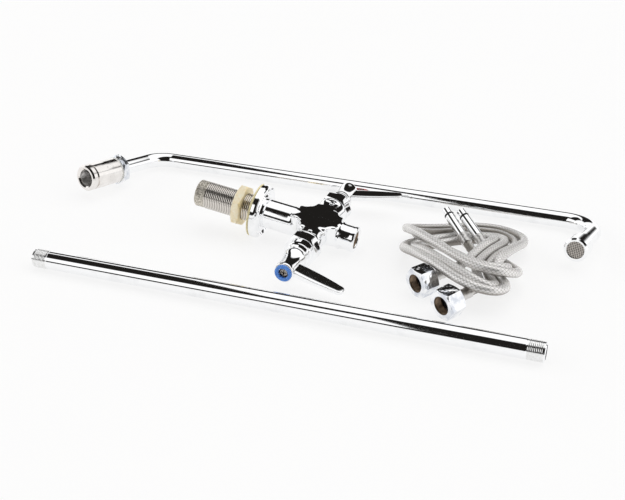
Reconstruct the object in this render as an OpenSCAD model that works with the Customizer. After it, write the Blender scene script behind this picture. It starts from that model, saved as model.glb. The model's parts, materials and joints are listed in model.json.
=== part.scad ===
// Deck-mount mixing faucet kit, taken apart and laid out flat on a table.
// Four loose groups: the mixing valve, the riser pipe, the swing nozzle and two braided supply hoses.
// X runs along the riser pipe, Y goes back to the nozzle and Z is up from the table.

/* [Mixing valve] */
// Centre of the valve to the end of the outlet
outlet_len = 38; // [34:0.5:48]
// Outside diameter of the outlet
outlet_d = 25; // [23:0.5:28]
// Bore of the outlet, which the riser pipe screws into
outlet_bore = 17.3; // [15:0.1:18.5]
// Diameter of the barrel between the flange and the cross
barrel_d = 28.6; // [27:0.1:32]
// Centre of the valve to the face of the flange that meets the sink
flange_reach = 62; // [56:0.5:80]
// Diameter of the flange
flange_d = 52; // [50:0.5:70]
// Height of the flange
flange_h = 8; // [6:0.5:12]
// Thickness of the gasket under the flange
gasket_t = 1.5; // [1:0.1:3]
// Outside diameter of the threaded shank
shank_d = 26.4; // [25:0.1:27]
// Bore of the shank, which both supply hoses pass through
shank_bore = 21.6; // [21.2:0.1:22.4]
// Length of the shank below the flange
shank_len = 62; // [50:1:110]
// Thickness of the lock nut
lock_nut_t = 8; // [5:0.5:12]
// Size of the lock nut across its flats
lock_nut_af = 36.5; // [32:0.5:44]
// Distance from the end of the shank to the lock nut
lock_nut_at = 41; // [12:1:44]
// Distance between the two hose inlets inside the shank
inlet_gap = 10.6; // [10.3:0.1:11]
// Bore of each hose inlet
inlet_bore = 9; // [8.4:0.1:9.4]

/* [Handles] */
// Centre of the valve to the seat that the bonnet screws down on
arm_len = 38; // [36:0.5:48]
// Diameter of the arms at the seat
arm_d = 30; // [28.5:0.5:34]
// Size of the bonnet across its flats
bonnet_af = 29; // [27:0.5:32]
// Height of the bonnet's hexagon
bonnet_hex_h = 11; // [8:0.5:14]
// Height of the stepped neck above the hexagon
bonnet_neck_h = 11; // [9:0.5:15]
// Diameter of the cartridge
cartridge_d = 21; // [19:0.5:22.5]
// Diameter of the stem
stem_d = 8; // [6:0.5:9]
// Height of the handle's hub
hub_h = 29; // [26:0.5:34]
// Diameter of the hub at the bonnet
hub_root_d = 21.6; // [18:0.2:24]
// Diameter of the hub at the index ring
hub_tip_d = 17.8; // [17:0.1:21]
// Outside diameter of the coloured index ring
index_d = 15.6; // [13:0.1:16.2]
// Hub axis to the tip of the lever
lever_len = 57; // [45:1:80]
// Width of the lever where it leaves the hub
lever_root_w = 14; // [11:0.5:15]
// Width of the lever near its tip
lever_tip_w = 9; // [7:0.5:12]
// Thickness of the lever
lever_t = 6; // [4:0.5:8]
// Angle by which the levers lean outwards
lever_flare = 13; // [0:1:20]
// Angle at which the hot lever was left standing
hot_turn = 11; // [0:1:45]

/* [Riser pipe] */
// Length of the riser pipe
riser_len = 457.2; // [300:0.1:620]
// Outside diameter of the riser pipe
riser_d = 17.1; // [16:0.1:18.4]
// Bore of the riser pipe
riser_bore = 12.5; // [10:0.1:14]
// Length of the thread at each end
riser_thread = 15; // [10:1:20]

/* [Swing nozzle] */
// Outside diameter of the nozzle tube
tube_d = 15.9; // [14:0.1:18]
// Wall of the nozzle tube
tube_wall = 1.2; // [0.8:0.1:2]
// Corner to corner length of the arm
nozzle_arm = 478; // [300:1:560]
// Corner to the open end of the riser coupling
coupling_reach = 108; // [104:1:140]
// Corner to the face of the aerator
outlet_reach = 85; // [74:1:120]
// Inside angle between the arm and the coupling leg
coupling_angle = 105.5; // [90:0.5:115]
// Inside angle between the arm and a line beside the outlet leg
outlet_angle = 100.5; // [90:0.5:112]
// Radius of both bends at the middle of the tube
bend_r = 27; // [22:1:36]
// Diameter of the riser coupling
coupling_d = 26.4; // [25:0.2:30]
// Length of the riser coupling
coupling_len = 42; // [38:0.5:50]
// Size of the swivel nut across its flats
swivel_af = 28; // [26:0.5:32]
// Thickness of the swivel nut
swivel_t = 8; // [6:0.5:10]
// Diameter of the aerator's housing
aerator_d = 22.4; // [20:0.2:26]
// Length of the aerator's housing
aerator_len = 19; // [16:0.5:24]
// Diameter of the aerator's screen
screen_d = 16.4; // [14:0.2:17.6]

/* [Supply hoses] */
// Outside diameter of the braided hose
hose_d = 8.5; // [7:0.1:8.8]
// Size of the supply nuts across their flats
supply_af = 24.6; // [22:0.2:26]
// Height of the supply nuts' hexagon
supply_hex_h = 16; // [13:0.5:20]
// Thread bore of the supply nuts
supply_bore = 16.6; // [14:0.1:18]
// Diameter of the slim connectors
connector_d = 9.4; // [8.8:0.1:9.8]
// Length of the slim connectors with their threaded tips
connector_len = 34; // [26:1:44]
// Diameter of the crimped ferrules
ferrule_d = 10.2; // [10:0.1:11]
// Length of the crimped ferrules
ferrule_len = 11; // [8:0.5:16]

/* [Hidden] */
$fn = 64;

// Running fit and loose gap between pieces
fit = 0.05;
gap = 0.3;

// Step from the riser pipe down to its threads
thread_step = 0.25;

// Layout on the table: where each group lies and how it is turned
valve_at = [10.9, 1.6, 0];
valve_turn = -1;
riser_at = [-218.1, -120.9];
nozzle_at = [-218.7, 121.7];
nozzle_turn = -0.7;
hoses_at = [3.5, 0.1, 0];

// The valve tips until the rounded rim of its flange and the rim of its outlet both touch the table
rim_r = 4.5;
outlet_rim = outlet_len - 0.6;
rest_span = outlet_rim + flange_reach - flange_h + rim_r;
rest_drop = (flange_d - outlet_d) / 2 - rim_r;
valve_tilt = atan(rest_drop / rest_span) + asin(rim_r / norm([rest_span, rest_drop]));
valve_z = outlet_rim * sin(valve_tilt) + outlet_d / 2 * cos(valve_tilt);

// The nozzle lies on its arm and on one corner of its swivel nut
swivel_r = swivel_af / 2 / cos(30);
coupling_z = coupling_reach - coupling_len;
swivel_z = coupling_z - swivel_t;
nut_reach = (swivel_z + swivel_t / 2) * sin(coupling_angle);
nozzle_tilt = asin((swivel_r - tube_d / 2) / nut_reach) + 0.25;

// Valve, measured from its centre
spigot_d = shank_bore + 2.2;
spigot_len = 13;
shank_tip = 10;
inlet_x = 27;
inlet_depth = 12;
outlet_depth = 17;
seat_x = 13;
front_z = 12.5;
bonnet_thread_d = cartridge_d + 3.4;
bonnet_thread = 9.5;
bonnet_top = arm_len + bonnet_hex_h + bonnet_neck_h;
hub_z = bonnet_top + 0.5;
hub_face = hub_z + hub_h;
index_sink = 1.2;
index_t = 2.2;
index_bore = 9.4;
screw_d = 4;
screw_head_d = 8.6;
screw_head_h = 3;
lever_z = hub_h * 0.58;
skirt_z = arm_len - bonnet_thread + gap;
skirt_bore = cartridge_d - 2;
cartridge_z = seat_x + 2;
seal_z = arm_len + bonnet_hex_h + 4.4;
stem_top = hub_z + hub_h * 0.7;
port_at = 5.5;
port_d = 4.5;

// Nozzle, measured from its corners
bend_1 = 180 - coupling_angle;
bend_2 = outlet_angle;
corner_1 = bend_r * tan(bend_1 / 2);
corner_2 = bend_r * tan(bend_2 / 2);
tube_bore = tube_d - 2 * tube_wall;
thrust_t = 2;
cavity_d = tube_d + 3;
tube_end_1 = coupling_z + 18;
aerator_z = outlet_reach - aerator_len;
collar_z = aerator_z - 7;
collar_len = 13;
collar_d = tube_d + 2.4;
tube_end_2 = aerator_z + 2;
socket_depth = 17;
pocket_d = riser_d - 0.4;
pocket_h = 1.8;
mouth_h = 1.4;

// Supply hose fittings, measured from the open face of the nut
nut_inner = supply_hex_h - 3;
nut_thread = nut_inner - 4;
washer_h = 1.5;
shoulder_h = 4;
nut_len = supply_hex_h + shoulder_h;
tail_flange_d = supply_bore - 1.6;
tail_d = ferrule_d - 1.2;
tail_len = nut_len + 2 + ferrule_len;
tip_len = 7;
groove_len = 2;
hose_bore = 5;
oring_d = inlet_bore - 1;
oring_wire = 1.6;

// Where the open faces of the supply nuts lie, and the way their hoses leave them
nut_a_at = hoses_at + [115.7, -59.1, 12.4];
nut_a_dir = [53, 2];
nut_b_at = hoses_at + [144.7, -87.4, 12.4];
nut_b_dir = [57, 3];
// Where the tips of the connectors lie, and the way their hoses leave them
tip_a_at = hoses_at + [113.5, 65.5, 25];
tip_a_dir = [-47, -21];
tip_b_at = hoses_at + [127.5, 67, 25];
tip_b_dir = [-45, -21];

// Routes of the hoses between those ends, two turns each: out over a lobe at the back, home on the table
// under the connectors, round the left side, across the front, up a second lobe, and round once more on top
route_a = [
    [145, -18, 13.5], [149.3, -7.5, 13.7], [153, 4, 14.5], [157, 16, 15.5], [161.5, 27.5, 16.2],
    [165, 38, 15], [163.5, 47.5, 11.5], [156.8, 52, 8], [148.2, 52, 5.6], [139, 49, 4.4],
    [129.8, 44.3, 4.4], [120.5, 37, 4.4], [111.5, 29.5, 4.8], [104, 20.5, 6.4], [100, 11, 9.6],
    [99.5, 2, 14], [103.5, -6, 18], [110.5, -13.5, 21.4], [118.5, -21.2, 23.5], [128, -29.2, 24.5],
    [138.3, -37, 24.8], [148.8, -44.7, 24.8], [158.4, -51.4, 24.6], [167.6, -56, 23.6], [176.3, -56.3, 21.2],
    [181.3, -48.3, 17.8], [178.3, -37.5, 14.4], [173.4, -27, 12.7], [169.8, -16, 12.6], [170.2, -4.5, 13.8],
    [173.2, 7, 14.5], [177.5, 18.5, 14], [182, 30, 12.3], [184, 42, 10], [181.8, 54.6, 7.8],
    [174.8, 64.7, 5.9], [164, 71.2, 4.8], [152, 72, 4.4], [140, 69.5, 4.4], [128.5, 64.5, 4.4],
    [117.2, 58.4, 4.4], [107, 52.6, 5], [98.8, 46, 7], [94, 38.5, 10.5], [93.8, 29.7, 14.2],
    [97.6, 21.2, 17.2], [104.5, 13.7, 19.8], [112.8, 6.3, 21], [121.8, -0.7, 21.5], [131.5, -7.7, 22],
    [141.6, -14.6, 22.5], [152, -21, 22.8], [162.8, -26.3, 23.2], [173.5, -28.3, 23.4], [182.4, -25, 22.7],
    [187, -17, 18.8], [184.8, -8, 11.6], [176.5, 1.3, 6], [167, 10, 4.4], [159, 17.8, 4.4],
    [152.3, 24.4, 4.7]];
route_b = [
    [168.3, -45.6, 14.6], [166, -36, 14.2], [162.4, -26.5, 13.8], [160, -16, 13.7], [160.5, -5, 13.9],
    [163.3, 6, 14.3], [167.3, 17.5, 14.6], [171.8, 28.6, 14], [174.6, 39.5, 12.4], [173.2, 50.5, 9.8],
    [167, 58.9, 7], [157.3, 62, 5], [146, 61.2, 4.4], [134.5, 57, 4.4], [124, 51, 4.4],
    [113.5, 44.3, 4.4], [103.5, 37.2, 4.4], [95.2, 28.8, 5.1], [90.3, 19.2, 7.2], [89, 8.7, 10.4],
    [90.5, -1.5, 14.2], [95.3, -11, 18.2], [102.8, -19.8, 21.6], [112, -28.5, 24], [122.8, -37.2, 25.4],
    [133.3, -45.6, 25.5], [144, -53.8, 25], [155.2, -61, 24.6], [166.3, -66, 24], [177.3, -66, 22.4],
    [186.2, -61, 20.4], [190.8, -51, 18], [189.2, -39.3, 15.2], [184, -28, 12.9], [179, -17, 14],
    [178, -5.7, 18.3], [181, 6, 19.3], [185.2, 18, 18.8], [189.5, 30, 17.2], [192, 42, 14.2],
    [190.4, 55.4, 11], [184.4, 67.2, 8], [174.3, 76.3, 5.8], [162.4, 80.8, 4.8], [150, 81, 4.4],
    [138, 78.4, 4.4], [126.3, 73.5, 4.4], [115.2, 67.8, 4.4], [104.4, 62.8, 4.7], [94.8, 57, 5.9],
    [87.6, 49.5, 8.5], [84.2, 40.6, 12.4], [84.5, 31, 17.1], [88.4, 21.4, 22], [95.3, 12.3, 25.5],
    [104.4, 3.8, 27.4], [114.8, -4.4, 28], [125.7, -12.3, 28], [136.6, -20.4, 27.6], [147.6, -28.2, 27.4],
    [158.6, -34.7, 27.2], [170, -38, 26.8], [181, -37.2, 25.4], [190, -31.6, 22.6], [195.6, -22.5, 18.3],
    [195.6, -11, 13.4], [190, 1.3, 8.8], [181.8, 12.7, 6], [174.2, 20.7, 4.6], [167.5, 27.4, 4.6]];

// ---- Shapes used by several pieces ----

// Solid of revolution from [radius, height] points
module turned(points) rotate_extrude() polygon(points);

// Plain ring standing on z = 0
module ring(d, bore, h) rotate_extrude() translate([bore / 2, 0]) square([(d - bore) / 2, h]);

// Round ring of wire d thick, its middle circle mid_d across
module o_ring(mid_d, d) rotate_extrude() translate([mid_d / 2, 0]) circle(d = d, $fn = 24);

// Points of an arc, from angle a to angle b
function arc(centre, r, a, b, n = 6) =
    [for (i = [0 : n]) centre + r * [cos(a + (b - a) * i / n), sin(a + (b - a) * i / n)]];

// Hexagon prism with its corners chamfered at both ends
module hex_prism(af, h) {
    corner = af / 2 / cos(30);
    cut = (corner - af / 2) * 0.6;
    intersection() {
        cylinder(d = 2 * corner, h = h, $fn = 6);
        turned([[0, 0], [af / 2, 0], [corner + 0.01, cut], [corner + 0.01, h - cut], [af / 2, h], [0, h]]);
    }
}

// Screw head, z = 0 at its seat, with a cross recess
module cross_head(d, h) {
    difference() {
        turned([[0, 0], [d / 2, 0], [d / 2, h * 0.55], [d * 0.36, h * 0.9], [0, h]]);
        for (a = [0, 90])
            rotate([0, 0, a]) translate([-d * 0.3, -d * 0.06, h * 0.4]) cube([d * 0.6, d * 0.12, h]);
    }
}

// ---- Places ----

// Valve: X runs from the shank to the outlet, the cold arm points to -Y and the front faces up
module in_valve() translate(valve_at + [0, 0, valve_z]) rotate([0, valve_tilt, valve_turn]) children();

// Along the valve's own axis
module along_valve() rotate([0, 90, 0]) children();

// One arm of the valve: Z runs outwards, side is 1 for cold and -1 for hot
module on_arm(side) in_valve() rotate([90 * side, 0, 0]) children();

// A handle, turned to where it was left
module on_handle(side) on_arm(side) rotate([0, 0, side < 0 ? -hot_turn : 0]) children();

// Nozzle: X runs along the arm from its first corner, the legs point to -Y
module in_nozzle()
    translate([nozzle_at[0], nozzle_at[1], tube_d / 2]) rotate([-nozzle_tilt, 0, nozzle_turn]) children();

// The legs of the nozzle: Z runs from the corner to the open end
module on_coupling_leg() in_nozzle() rotate([0, 0, -coupling_angle]) rotate([0, 90, 0]) children();
module on_outlet_leg()
    in_nozzle() translate([nozzle_arm, 0, 0]) rotate([0, 0, -outlet_angle]) rotate([0, 90, 0]) children();

// Fittings of a hose: Z points from the fitting's open end into the hose
module pointing(at, dir) translate(at) rotate([0, 90 - dir[1], dir[0]]) children();

// ---- Mixing valve ----

module valve_body() color("silver") in_valve() {
    barrel_r = barrel_d / 2;
    arm_r = arm_d / 2;
    difference() {
        union() {
            along_valve() turned(concat(
                [[0, -flange_reach], [barrel_r, -flange_reach]],
                arc([barrel_r - 2.5, -seat_x - 11.5], 2.5, 0, 90),
                [[0, -seat_x - 9]]));
            along_valve() translate([0, 0, -seat_x - 10]) cylinder(r = seat_x, h = seat_x + 22);
            along_valve() turned(concat(
                [[0, 8], [outlet_d / 2 + 1.2, 8]],
                arc([outlet_d / 2 + 4.6, 19], 5, 180, 130, 4),
                [[outlet_d / 2 - 0.4, 24], [outlet_d / 2 - 0.4, outlet_len - 4],
                 [outlet_d / 2, outlet_len - 3.4], [outlet_d / 2, outlet_len - 0.6],
                 [outlet_d / 2 - 0.6, outlet_len], [0, outlet_len]]));
            for (side = [1, -1])
                rotate([90 * side, 0, 0]) turned(concat(
                    [[0, 0], [seat_x, 0]],
                    [for (t = [0 : 0.125 : 1])
                        [seat_x + (arm_r - seat_x) * pow(t, 2), 10 + (arm_len - 14) * t]],
                    [[arm_r, arm_len - 0.8], [arm_r - 0.8, arm_len], [0, arm_len]]));
            cross_web();
        }
        front_flat();
        water_ways();
    }
}

// Webs that blend the barrel, the outlet and the arms into one casting
module cross_web() {
    web_h = 19;
    blend = [13, 7.5];
    translate([0, 0, front_z - web_h]) linear_extrude(web_h)
        for (end = [0, 1], side = [0, 1])
            mirror([1 - end, 0]) mirror([0, side])
                difference() {
                    square(seat_x - 1 + blend[end]);
                    translate([seat_x - 1 + blend[end], seat_x - 1 + blend[end]]) circle(blend[end]);
                }
}

// Flat that the casting has on its front
module front_flat()
    translate([-20, -arm_len + 4, front_z]) cube([41, 2 * arm_len - 8, arm_d]);

module water_ways() {
    // Shank thread, then the space below the two hose inlets
    along_valve() translate([0, 0, -flange_reach - 1]) cylinder(d = spigot_d + 2 * fit, h = spigot_len + 1.5);
    along_valve() translate([0, 0, -flange_reach]) cylinder(d = shank_bore, h = flange_reach - inlet_x);
    for (side = [-1, 1]) {
        // Inlet thread and the drilling from it to the cartridge
        translate([0, -side * inlet_gap / 2, 0]) along_valve() {
            translate([0, 0, -inlet_x - 1]) cylinder(d = inlet_bore, h = inlet_depth + 1);
            translate([0, 0, -inlet_x]) cylinder(d = 5, h = inlet_x - 3);
        }
        rotate([90 * side, 0, 0]) translate([-port_at, 0, inlet_gap / 2 - 3])
            cylinder(d = port_d, h = seat_x - inlet_gap / 2 + 4);
        // Outlet port of the cartridge
        rotate([90 * side, 0, 0]) translate([port_at, 0, 0]) cylinder(d = port_d, h = seat_x + 1);
        // Cartridge chamber and bonnet thread
        rotate([90 * side, 0, 0]) {
            translate([0, 0, seat_x]) cylinder(d = cartridge_d + 2 * fit, h = arm_len);
            translate([0, 0, arm_len - bonnet_thread]) cylinder(d = bonnet_thread_d + 2 * fit, h = arm_len);
        }
    }
    // Outlet thread and the way to it
    along_valve() {
        translate([0, 0, 3]) cylinder(d = 10, h = outlet_len);
        translate([0, 0, outlet_len - outlet_depth]) cylinder(d = outlet_bore, h = outlet_depth + 1);
    }
}

module base_flange() color("gainsboro") in_valve() along_valve()
    translate([0, 0, -flange_reach]) {
        r = flange_d / 2;
        inner = barrel_d / 2 + fit;
        neck_r = 2.4;
        turned(concat(
            [[inner, 0], [r - 0.8, 0], [r, 0.8]],
            arc([r - rim_r, flange_h - rim_r], rim_r, 0, 75),
            arc([inner + neck_r + 2.8, flange_h], neck_r, 300, 180, 5),
            [[inner, flange_h]]));
    }

module deck_gasket() color("wheat") in_valve() along_valve()
    translate([0, 0, -flange_reach - gasket_t]) ring(flange_d - 1, shank_d + 0.4, gasket_t);

module shank() color("darkgray") in_valve() along_valve() {
    tip = shank_d / 2 - 0.4;
    difference() {
        turned([
            [0, -flange_reach - shank_len], [tip - 0.8, -flange_reach - shank_len],
            [tip, -flange_reach - shank_len + 0.8], [tip, -flange_reach - shank_len + shank_tip],
            [shank_d / 2, -flange_reach - shank_len + shank_tip + 0.8],
            [shank_d / 2, -flange_reach], [spigot_d / 2, -flange_reach],
            [spigot_d / 2, -flange_reach + spigot_len], [0, -flange_reach + spigot_len]]);
        translate([0, 0, -flange_reach - shank_len - 1]) cylinder(d = shank_bore, h = shank_len + spigot_len + 2);
    }
}

module lock_nut() color("burlywood") in_valve() along_valve()
    translate([0, 0, -flange_reach - shank_len + lock_nut_at]) difference() {
        hex_prism(lock_nut_af, lock_nut_t);
        translate([0, 0, -1]) cylinder(d = shank_d + 2 * fit, h = lock_nut_t + 2);
    }

// ---- One side of the valve: side is 1 for cold and -1 for hot ----

module bonnet(side) color("silver") on_arm(side) {
    neck = arm_len + bonnet_hex_h;
    difference() {
        union() {
            translate([0, 0, skirt_z]) cylinder(d = bonnet_thread_d, h = bonnet_thread);
            translate([0, 0, arm_len]) hex_prism(bonnet_af, bonnet_hex_h);
            translate([0, 0, neck]) turned([
                [0, -0.5], [12, -0.5], [12, 2.8], [11.2, 3.6], [10.2, 4], [10.2, 5.4], [11.3, 6], [11.3, 8],
                [9.8, 8.8], [9.4, bonnet_neck_h - 0.6], [8.8, bonnet_neck_h], [0, bonnet_neck_h]]);
        }
        translate([0, 0, skirt_z - 1]) cylinder(d = skirt_bore, h = bonnet_thread + 5);
        translate([0, 0, seal_z - 1]) cylinder(d = stem_d + 4, h = 2);
        cylinder(d = stem_d + 2 * fit, h = bonnet_top + 1);
    }
}

module bonnet_seal(side) color("dimgray") on_arm(side)
    translate([0, 0, seal_z]) o_ring(stem_d + 2, 1.8);

// The bonnet's skirt clamps the shoulder of the cartridge
module cartridge(side) color("khaki") on_arm(side) difference() {
    translate([0, 0, cartridge_z]) {
        cylinder(d = cartridge_d, h = skirt_z - cartridge_z);
        cylinder(d = skirt_bore - 2 * fit, h = arm_len + 3 - cartridge_z);
    }
    translate([0, 0, seat_x + 5]) cylinder(d = stem_d + 4 + 2 * fit, h = 4);
    translate([0, 0, seat_x + 5]) cylinder(d = stem_d + 2 * fit, h = arm_len);
    ports();
}

module seat_seal(side) color("black") on_arm(side) difference() {
    translate([0, 0, seat_x]) cylinder(d = cartridge_d - 0.6, h = cartridge_z - seat_x);
    ports();
}

// Inlet and outlet port through the seal and the foot of the cartridge
module ports()
    for (x = [-port_at, port_at]) translate([x, 0, seat_x - 1]) cylinder(d = port_d, h = 6.5);

module stem(side) color("goldenrod") on_handle(side) difference() {
    union() {
        translate([0, 0, seat_x + 5 + fit]) cylinder(d = stem_d + 4, h = 4 - 2 * fit);
        translate([0, 0, seat_x + 6]) cylinder(d = stem_d, h = stem_top - seat_x - 6);
    }
    translate([0, 0, hub_z + 4]) cylinder(d = screw_d + 2 * fit, h = hub_h);
}

module lever(side) color("silver") on_handle(side) translate([0, 0, hub_z]) difference() {
    union() {
        turned([
            [0, 0], [hub_root_d / 2 - 1, 0], [hub_root_d / 2, 1], [hub_root_d / 2, 3],
            [hub_tip_d / 2 + 0.5, hub_h - 2.5], [hub_tip_d / 2, hub_h], [0, hub_h]]);
        blade();
    }
    translate([0, 0, -1]) cylinder(d = stem_d + 2 * fit, h = stem_top - hub_z + 1 + gap);
    cylinder(d = screw_d + 0.4, h = hub_h);
    translate([0, 0, hub_h - index_sink - screw_head_h]) cylinder(d = screw_head_d + 0.6, h = hub_h);
    translate([0, 0, hub_h - index_sink]) cylinder(d = index_d + 2 * fit, h = hub_h);
}

// Tapered blade with a rounded tip and softly crowned faces
module blade() {
    crown_r = 24;
    translate([0, 0, lever_z]) rotate([90, -lever_flare, 0]) intersection() {
        translate([0, 0, -lever_t / 2]) linear_extrude(lever_t) {
            polygon([[0, -lever_root_w / 2], [lever_len - lever_tip_w / 2, -lever_tip_w / 2],
                [lever_len - lever_tip_w / 2, lever_tip_w / 2], [0, lever_root_w / 2]]);
            translate([lever_len - lever_tip_w / 2, 0]) circle(d = lever_tip_w);
        }
        translate([-1, 0, crown_r - lever_t / 2]) along_valve() cylinder(r = crown_r, h = lever_len + 2);
        translate([-1, 0, lever_t / 2 - crown_r]) along_valve() cylinder(r = crown_r, h = lever_len + 2);
    }
}

module index_ring(side, tint) color(tint) on_handle(side)
    translate([0, 0, hub_face - index_sink]) ring(index_d, index_bore, index_t);

module handle_screw(side) color("gray") on_handle(side)
    translate([0, 0, hub_face - index_sink - screw_head_h]) {
        cross_head(screw_head_d, screw_head_h + 0.6);
        translate([0, 0, -hub_h * 0.5]) cylinder(d = screw_d, h = hub_h * 0.5 + 0.5);
    }

module cold_bonnet() bonnet(1);
module cold_bonnet_seal() bonnet_seal(1);
module cold_cartridge() cartridge(1);
module cold_seat_seal() seat_seal(1);
module cold_stem() stem(1);
module cold_lever() lever(1);
module cold_index_ring() index_ring(1, "cornflowerblue");
module cold_screw() handle_screw(1);
module hot_bonnet() bonnet(-1);
module hot_bonnet_seal() bonnet_seal(-1);
module hot_cartridge() cartridge(-1);
module hot_seat_seal() seat_seal(-1);
module hot_stem() stem(-1);
module hot_lever() lever(-1);
module hot_index_ring() index_ring(-1, "firebrick");
module hot_screw() handle_screw(-1);

// ---- Riser pipe ----

module riser_pipe() color("silver")
    translate([riser_at[0], riser_at[1], riser_d / 2]) rotate([0, 90, 0]) {
        r = riser_d / 2;
        thread_r = r - thread_step;
        turned([
            [riser_bore / 2, 0], [thread_r - 0.8, 0], [thread_r, 0.8], [thread_r, riser_thread],
            [r, riser_thread + 0.6], [r, riser_len - riser_thread - 0.6],
            [thread_r, riser_len - riser_thread], [thread_r, riser_len - 0.8], [thread_r - 0.8, riser_len],
            [riser_bore / 2, riser_len]]);
    }

// ---- Swing nozzle ----

module tube_section() difference() {
    circle(d = tube_d);
    circle(d = tube_bore);
}

// One end of the tube: the bend at the arm's end and the straight leg after it
module tube_leg(corner, angle, leg)
    translate([corner, -bend_r, 0]) rotate([0, 0, 90]) {
        rotate_extrude(angle = angle) translate([bend_r, 0]) tube_section();
        rotate([0, 0, angle]) translate([bend_r, 0, 0]) rotate([-90, 0, 0]) linear_extrude(leg) tube_section();
    }

module nozzle_tube() color("silver") in_nozzle() {
    translate([corner_1, 0, 0]) rotate([0, 90, 0])
        linear_extrude(nozzle_arm - corner_1 - corner_2) tube_section();
    tube_leg(corner_1, bend_1, tube_end_1 - corner_1);
    translate([nozzle_arm, 0, 0]) mirror([1, 0, 0]) tube_leg(corner_2, bend_2, tube_end_2 - corner_2);
}

module tube_collar() color("silver") on_coupling_leg() translate([0, 0, swivel_z - 3.3])
    turned([[tube_d / 2 + fit, 0], [tube_d / 2 + 1, 0], [tube_d / 2 + 1.8, 1], [tube_d / 2 + 1.8, 3],
        [tube_d / 2 + fit, 3]]);

module swivel_nut() color("silver") on_coupling_leg() difference() {
    union() {
        translate([0, 0, swivel_z]) hex_prism(swivel_af, swivel_t);
        translate([0, 0, coupling_z - 0.5]) cylinder(d = cavity_d, h = 8);
    }
    translate([0, 0, swivel_z - 1]) cylinder(d = tube_d + 2 * fit, h = swivel_t + 20);
}

module thrust_ring() color("gainsboro") on_coupling_leg()
    translate([0, 0, coupling_z]) turned([
        [cavity_d / 2 + fit, 0], [coupling_d / 2 - 0.5, 0], [coupling_d / 2 + 0.2, 0.6],
        [coupling_d / 2 + 0.2, thrust_t - 0.5], [coupling_d / 2 - 0.3, thrust_t], [cavity_d / 2 + fit, thrust_t]]);

module riser_coupling() color("silver") on_coupling_leg() {
    r = coupling_d / 2;
    from = coupling_z + thrust_t;
    flats = coupling_reach - 23;
    difference() {
        union() {
            turned([[0, from], [r, from], [r, flats], [0, flats]]);
            intersection() {
                translate([0, 0, flats]) rotate([0, 0, 22.5]) cylinder(r = r * 1.07, h = 15, $fn = 8);
                translate([0, 0, flats]) cylinder(r = r + 0.2, h = 15);
            }
            turned([[0, flats + 15], [r - 1.1, flats + 15], [r - 1.1, flats + 16.4], [r + 0.3, flats + 17.2],
                [r + 0.3, coupling_reach - 1.6], [r - 1.2, coupling_reach], [0, coupling_reach]]);
        }
        translate([0, 0, from - 1]) cylinder(d = cavity_d + 2 * fit, h = 20 - thrust_t + 1);
        cylinder(d = tube_bore, h = coupling_reach);
        translate([0, 0, coupling_reach - socket_depth]) {
            cylinder(d = pocket_d, h = socket_depth);
            translate([0, 0, pocket_h]) cylinder(d = riser_d + 0.2, h = socket_depth);
        }
        turned([[0, coupling_reach - mouth_h], [riser_d / 2 + 0.1, coupling_reach - mouth_h],
            [riser_d / 2 + 1.6, coupling_reach + 0.01], [0, coupling_reach + 0.01]]);
    }
}

module swivel_bush() color("khaki") on_coupling_leg()
    translate([0, 0, tube_end_1 - 5]) ring(cavity_d, tube_d + 2 * fit, 5);

module swivel_seals() color("black") on_coupling_leg()
    for (z = [coupling_z + 8.8, coupling_z + 11]) translate([0, 0, z])
        o_ring((tube_d + cavity_d) / 2, (cavity_d - tube_d) / 2 - 2 * fit);

module coupling_gasket() color("dimgray") on_coupling_leg()
    translate([0, 0, coupling_reach - socket_depth]) ring(pocket_d - 0.2, tube_bore, pocket_h - 0.2);

module outlet_collar() color("silver") on_outlet_leg() translate([0, 0, collar_z]) difference() {
    turned([[0, 0], [tube_d / 2 + 0.6, 0], [collar_d / 2, 0.8], [collar_d / 2, collar_len], [0, collar_len]]);
    translate([0, 0, -1]) cylinder(d = tube_d + 2 * fit, h = tube_end_2 - collar_z + 1 + fit);
    cylinder(d = tube_bore, h = collar_len + 1);
}

module aerator_housing() color("white") on_outlet_leg() translate([0, 0, aerator_z]) {
    r = aerator_d / 2;
    turned([
        [collar_d / 2 + fit, 0], [r - 1, 0], [r, 1], [r, aerator_len - 1.5], [r - 1.5, aerator_len],
        [screen_d / 2, aerator_len], [screen_d / 2, aerator_len - 1.2],
        [collar_d / 2 + fit, aerator_len - 1.8]]);
}

module aerator_washer() color("black") on_outlet_leg()
    translate([0, 0, collar_z + collar_len]) ring(collar_d - 0.3, tube_bore, 1.6);

module aerator_insert() color("ivory") on_outlet_leg()
    translate([0, 0, collar_z + collar_len + 1.6]) difference() {
        cylinder(d = collar_d - 0.2, h = outlet_reach - 4 - collar_z - collar_len - 1.6);
        for (a = [0 : 60 : 300]) rotate([0, 0, a]) translate([4.6, 0, -1]) cylinder(d = 2.6, h = 20);
        translate([0, 0, -1]) cylinder(d = 2.6, h = 20);
    }

module aerator_screen() color("gray") on_outlet_leg()
    translate([0, 0, outlet_reach - 4 + gap / 3]) {
        cylinder(d = collar_d - 0.4, h = 1.8);
        cylinder(d = screen_d - 0.2, h = 2.8);
    }

// ---- Supply hose fittings ----

module supply_nut(at, dir) color("silver") pointing(at, dir) difference() {
    union() {
        rotate([0, 0, 30]) hex_prism(supply_af, supply_hex_h);
        turned([[0, supply_hex_h - 1], [supply_af / 2 - 0.8, supply_hex_h - 1],
            [supply_af / 2 - 0.8, supply_hex_h + 0.6], [ferrule_d / 2 + 3, nut_len], [0, nut_len]]);
    }
    translate([0, 0, -1]) cylinder(d = supply_bore, h = nut_inner + 1);
    translate([0, 0, nut_thread]) cylinder(d = supply_bore + 0.8, h = nut_inner - nut_thread);
    translate([0, 0, -1]) cylinder(d = tail_d + 2 * fit, h = nut_len + 2);
}

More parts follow.
